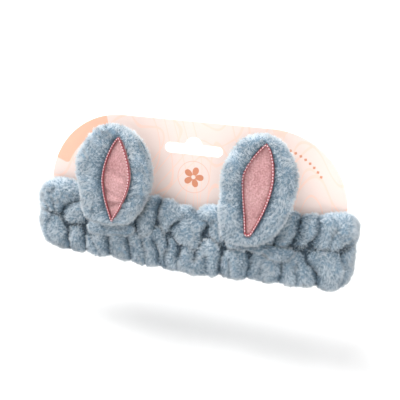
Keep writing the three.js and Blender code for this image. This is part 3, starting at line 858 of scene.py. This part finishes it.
MATERIALS = {
    "pile": fleece_pile(),
    "ground": fleece_ground(),
    "pink": pink_nap(),
    "edging": plain_thread("turned_red_edge", "#a84b54", 0.6),
    "pale_thread": plain_thread("pale_pink_thread", "#f4d2d3", 0.5),
    "thread": plain_thread("blue_grey_thread", "#6f8798", 0.6),
    "elastic": plain_thread("woven_elastic", "#efefea", 0.8),
    "board": printed_board(),
}


def finish_piece(piece, material, body, replaced=(), blend=None):
    """Gives a piece its material, and its body, or for a piece that is given a bend, keeps it
    where it stands with its transform baked into the mesh; and hides the CAD nodes that it stands
    for."""
    piece.data.materials.append(MATERIALS[material])
    if blend:
        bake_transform(piece)
    else:
        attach(piece, body)
    if replaced:
        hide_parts(*replaced)


def add_pile(name, body, points, faces, keep, openness, blend=None):
    """Covers a cloth with pile, which moves as the cloth does."""
    for pile in make_pile(name, points.reshape(-1, 3), faces, keep, openness):
        finish_piece(pile, "pile", body, (), blend)


# ---------------------------------------------------------------- build the band

for name, upper, seed in (("upper", True, 21), ("lower", False, 57)):
    piece, points, free, openness, faces = make_row(f"fleece_{name}_row", upper, seed)
    finish_piece(piece, "ground", "band", ["fleece_tube"])
    add_pile(f"{name}_row_pile", "band", points, faces, (free > 0.3).ravel() * 1.0,
             openness.ravel())


def make_groove_cloth():
    """The cloth drawn in along the gathering stitches, between the two rows: a flat ellipse,
    1.4 mm thick and 14 mm high, carried round the loop along the groove. Its outward points
    carry pile."""
    along = np.linspace(0, LOOP, 300, endpoint=False)[:, None]
    turn = np.linspace(0, 2 * math.pi, 20, endpoint=False)[None, :]
    groove = round_line(along, GROOVE_LINE, BAND_MIDDLE, 5)
    points = on_loop(along * np.ones_like(turn), GROOVE_DEPTH - 1.0 + 0.7 * np.cos(turn),
                     groove + 7.0 * np.sin(turn))
    faces = outward_faces(points, ring_faces(*points.shape[:2], wrap_rows=True))
    return points.reshape(-1, 3), faces, np.tile(np.cos(turn[0]) > 0.2, len(points)) * 1.0


points, faces, piled = make_groove_cloth()
# painted shade: the groove's cloth and pile take the dark colour of a deep fold, and the pile is
# shorter
openness = np.full(len(points), 0.2)
groove_cloth = make_piece("fleece_groove", points, faces, openness=openness)
finish_piece(groove_cloth, "ground", "band", ["fleece_tube"])
add_pile("groove_pile", "band", points, faces, piled, openness)

# ---------------------------------------------------------------- build the ears


def tube_along(path, radius, sides=8, squeeze=1.0):
    """Closed tube round a closed path: the section is turned to stay square to the path."""
    ahead = np.roll(path, -1, 0) - np.roll(path, 1, 0)
    ahead /= np.linalg.norm(ahead, axis=1, keepdims=True)
    up = np.array([0, -1.0, 0])
    side = np.cross(ahead, up)
    side /= np.linalg.norm(side, axis=1, keepdims=True)
    turn = np.linspace(0, 2 * math.pi, sides, endpoint=False)
    grid = (path[:, None] + radius * np.cos(turn)[None, :, None] * side[:, None]
            + radius * squeeze * np.sin(turn)[None, :, None] * up)
    faces = outward_faces(grid, ring_faces(grid.shape[0], sides, wrap_rows=True))
    return grid.reshape(-1, 3), faces


def stitches_along(path, pitch, length, radius):
    """Short stitches along a closed path: each is a six-sided bar, thinner at its ends."""
    whole = np.concatenate([path, path[:1]])
    walked = np.concatenate([[0], np.cumsum(np.linalg.norm(np.diff(whole, axis=0), axis=1))])
    turn = np.linspace(0, 2 * math.pi, 6, endpoint=False)
    shares = np.array([0.0, 0.12, 0.5, 0.88, 1.0])
    sizes = np.array([0.35, 0.85, 1.0, 0.85, 0.35])
    vertices, faces = [], []
    for start in np.arange(0, walked[-1] - length, pitch):
        at = start + shares * length
        line = np.stack([np.interp(at, walked, whole[:, k]) for k in range(3)], 1)
        ahead = line[-1] - line[0]
        ahead /= np.linalg.norm(ahead)
        side = np.cross(ahead, [0, -1.0, 0.02])
        side /= np.linalg.norm(side)
        up = np.cross(side, ahead)
        rings = (line[:, None] + radius * sizes[:, None, None]
                 * (np.cos(turn)[None, :, None] * side + np.sin(turn)[None, :, None] * up))
        v, f = closed_shell(rings)
        faces.append(outward_faces(v, f) + sum(len(k) for k in vertices))
        vertices.append(v)
    return np.concatenate(vertices), np.concatenate(faces)


def panel_rise(side, opening, x):
    """How far the pink panel and its edge come forward: nothing at the opening's left, and a
    few millimetres at its right."""
    left, right = opening[:, 0].min(), opening[:, 0].max()
    return (3.6 if side == "left" else 2.0) * ease(0.2, 1.0, (x - left) / (right - left))


def make_pink(side, opening, pink):
    """The pink panel: a shallow padded lens that fills the opening and runs under its edge,
    with a few soft cross creases near its lower end."""
    middle = opening.mean(0)
    wide = middle + (opening - middle) * 1.05
    crowns = [(share, -0.1 - 1.6 * (1 - share ** 2)) for share in np.linspace(0.06, 1, 16)]
    backs = [(share, 0.5) for share in (0.96, 0.6, 0.2)]
    grid = np.stack([ring_at(middle + (wide - middle) * share, pink + lift)
                     for share, lift in crowns + backs])
    shown = (np.arange(len(grid)) < len(crowns) - 1)[:, None]
    grid[..., 1] -= panel_rise(side, opening, grid[..., 0])
    height = grid[..., 2] - grid[..., 2].min()
    across = grid[..., 0] - middle[0]
    # each crease: depth, height above the lowest point, slope and width
    crease = sum(deep * np.exp(-((height - at - slope * across) / width) ** 2)
                 for deep, at, slope, width in ((2.4, 12, 0.2, 1.0), (1.0, 17, -0.3, 1.5),
                                                (1.1, 30, -0.35, 1.8)))
    crease = crease * (1.0 if side == "left" else 0.2)
    grid[..., 1] += shown * (crease + lattice_noise(grid, 7.0, 77) * 0.35)
    return closed_shell(grid)


FOOT_ROLLS = {
    "left": [(-61.5, -54.9, 3.4), (-58, -55.1, 4.0), (-52, -54.6, 4.1), (-44, -54.2, 3.7),
             (-36, -53.6, 3.6), (-31.5, -53.2, 3.0)],
    "right": [(26, -53.6, 1.6), (33, -53.2, 2.0), (42, -53.2, 2.1), (49, -53.8, 2.2),
              (51.5, -54.7, 3.2), (56, -54.9, 4.0), (61.5, -54.6, 3.7), (65, -54.2, 2.8)],
}


def make_foot_roll(side):
    """The ear's lower end, turned under and sewn down across the groove: a low roll of fleece
    whose middle line and half height are given along X, with a superellipse for its section
    and full round ends."""
    x, z, half = np.array(FOOT_ROLLS[side]).T
    share = (1 - np.cos(np.linspace(0, math.pi, 46))) / 2
    at = x[0] + (x[-1] - x[0]) * share
    turn = np.linspace(0, 2 * math.pi, 36, endpoint=False)[None, :]
    close = np.sqrt(np.clip(1 - np.abs(2 * share - 1) ** 10, 0, 1))[:, None]
    tall = np.interp(at, x, half)[:, None] * close
    out, up = (np.sign(wave) * np.abs(wave) ** 0.75 for wave in (np.cos(turn), np.sin(turn)))
    rings = np.stack([at[:, None] * np.ones_like(turn),
                      -(BAND_DEPTH - 2.2) - 2.9 * close * out,
                      np.interp(at, x, z)[:, None] + tall * up], -1)[1:-1]
    rings[..., 1] -= 0.5 * lattice_noise(rings, 4.0, 71)
    rings[..., 2] += 0.5 * lattice_noise(rings, 6.0, 72)
    return closed_shell(rings)


def stitches_in_groove():
    """The gathering stitches along the bottom of the groove, 3.2 mm apart."""
    along = np.arange(0, LOOP, 1.0)
    groove = round_line(along, GROOVE_LINE, BAND_MIDDLE, 5)
    path = on_loop(along, np.full(len(along), GROOVE_DEPTH - 0.2), groove)
    return stitches_along(path, pitch=3.2, length=2.2, radius=0.3)


vertices, faces = stitches_in_groove()
stitches = make_piece("gathering_stitches", vertices, faces)
finish_piece(stitches, "thread", "band", ["gathering_stitch"])

for side in ("left", "right"):
    body = f"{side}_ear"
    covers, outline, opening, pink, foot = make_ear(side)
    x = float(outline[0, 0]) * MM
    bend = tuple((x, 0, (foot + height) * MM) for height in BEND_HEIGHTS)
    replaced = {"front": [f"{side}_ear_front_panel"],
                "back": [f"{side}_ear_back_panel", f"{side}_ear_padding"]}
    for part, (piece, vertices, faces, shown, openness) in covers.items():
        finish_piece(piece, "ground", body, replaced[part], bend)
        add_pile(f"{side}_ear_{part}_pile", body, vertices, faces, shown, openness, bend)
    vertices, faces = make_pink(side, opening, pink)
    panel = make_piece(f"{side}_ear_pink_panel", vertices, outward_faces(vertices, faces))
    finish_piece(panel, "pink", body, [f"{side}_ear_inner_panel"], bend)
    edge = opening.mean(0) + (opening - opening.mean(0)) * 0.97
    edge_path = ring_at(edge, pink - 1.3 - panel_rise(side, opening, edge[:, 0]))
    vertices, faces = tube_along(edge_path, radius=0.6, squeeze=1.2)
    edging = make_piece(f"{side}_ear_turned_edge", vertices, faces)
    finish_piece(edging, "edging", body, [f"{side}_ear_inner_edge_stitching"], bend)
    vertices, faces = stitches_along(edge_path - np.array([0, 0.85, 0]),
                                     pitch=1.7, length=1.0, radius=0.33)
    threads = make_piece(f"{side}_ear_edge_threads", vertices, faces)
    finish_piece(threads, "pale_thread", body, (), bend)
    vertices, faces = make_foot_roll(side)
    faces = outward_faces(vertices, faces)
    # a little painted shade over the whole roll, and slightly shorter pile
    openness = np.full(len(vertices), 0.9)
    roll = make_piece(f"{side}_ear_foot_roll", vertices, faces, openness=openness)
    finish_piece(roll, "ground", "band", [f"{side}_ear_base_tab"])
    add_pile(f"{side}_ear_foot_pile", "band", vertices, faces, np.ones(len(vertices)), openness)
    seam_path = ring_at(outline, box_mm(f"{side}_ear_edge_seam")[0][1])
    vertices, faces = tube_along(evenly(seam_path, 90), radius=0.5, sides=6)
    seam = make_piece(f"{side}_ear_seam_cord", vertices, faces)
    finish_piece(seam, "thread", body, [f"{side}_ear_edge_seam"], bend)

# ---------------------------------------------------------------- carried-over CAD nodes

for name, material in (("backing_card", "board"), ("elastic_band", "elastic"),
                       ("elastic_join_stitches", "thread"), ("tube_long_seam", "thread"),
                       ("tube_cross_seam", "thread"),
                       ("left_ear_base_stitches", "thread"), ("right_ear_base_stitches", "thread")):
    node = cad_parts[name]
    node.data.materials.clear()
    node.data.materials.append(MATERIALS[material])

# ---------------------------------------------------------------- floor and light


FLOOR_DROP = 49                                   # room for the band when it is off the card
FLOOR_REACH = 1700
FLOOR_RISE = 3400                                 # of which its rim reaches a third


def studio():
    """A pale floor under the hanging pack that curves up all round it, a broad key light from
    the upper left, wider ones from the left side and from above, and an even white surround.
    The floor is pale grey near the pack and white farther out."""
    floor_z = TUBE_LOW[2] - FLOOR_DROP
    run = np.linspace(0, 1, 40)
    radius = FLOOR_REACH * np.sin(run * math.pi / 2)
    rise = FLOOR_RISE * ease(0.62, 1.6, run)
    turn = np.linspace(0, 2 * math.pi, 96, endpoint=False)
    rings = np.stack([radius[1:, None] * np.cos(turn), radius[1:, None] * np.sin(turn),
                      (floor_z + rise[1:, None]) * np.ones_like(turn)], -1)
    floor = make_piece("floor", rings.reshape(-1, 3), ring_faces(*rings.shape[:2]))
    middle = make_piece("floor_middle", rings[0], np.arange(len(turn))[None, :])
    pale, tree, shader, place = new_material("pale_floor")
    far = add(tree, "VectorMath", "LENGTH", place).outputs["Value"]
    share = add(tree, "MapRange", None, far, 0.30, 0.75)
    paper = add(tree, "Mix", RGBA, share, i6=colour("#cecece"), i7=colour("#f2f2f2"))
    plug(tree, shader, Base_Color=paper.outputs[2], Roughness=0.9)
    floor.data.materials.append(pale)
    middle.data.materials.append(pale)
    world = bpy.context.scene.world or bpy.data.worlds.new("surround")
    bpy.context.scene.world = world
    world.use_nodes = True
    background = next(n for n in world.node_tree.nodes if n.type == "BACKGROUND")
    background.inputs["Color"].default_value = (1, 1, 1, 1)
    background.inputs["Strength"].default_value = 0.82
    for name, place, power, spread in (("key", (-0.45, -0.80, 0.58), 1.3, 36),
                                       ("side", (-0.90, -0.30, 0.42), 1.1, 50),
                                       ("top", (-0.46, -0.12, 0.86), 3.3, 40)):
        data = bpy.data.lights.new(name, "SUN")
        data.energy = power
        data.angle = math.radians(spread)
        lamp = bpy.data.objects.new(name, data)
        bpy.context.scene.collection.objects.link(lamp)
        lamp.location = place
        lamp.rotation_euler = (-Vector(place)).to_track_quat("-Z", "Y").to_euler()


studio()
bpy.context.scene.view_settings.view_transform = "Standard"
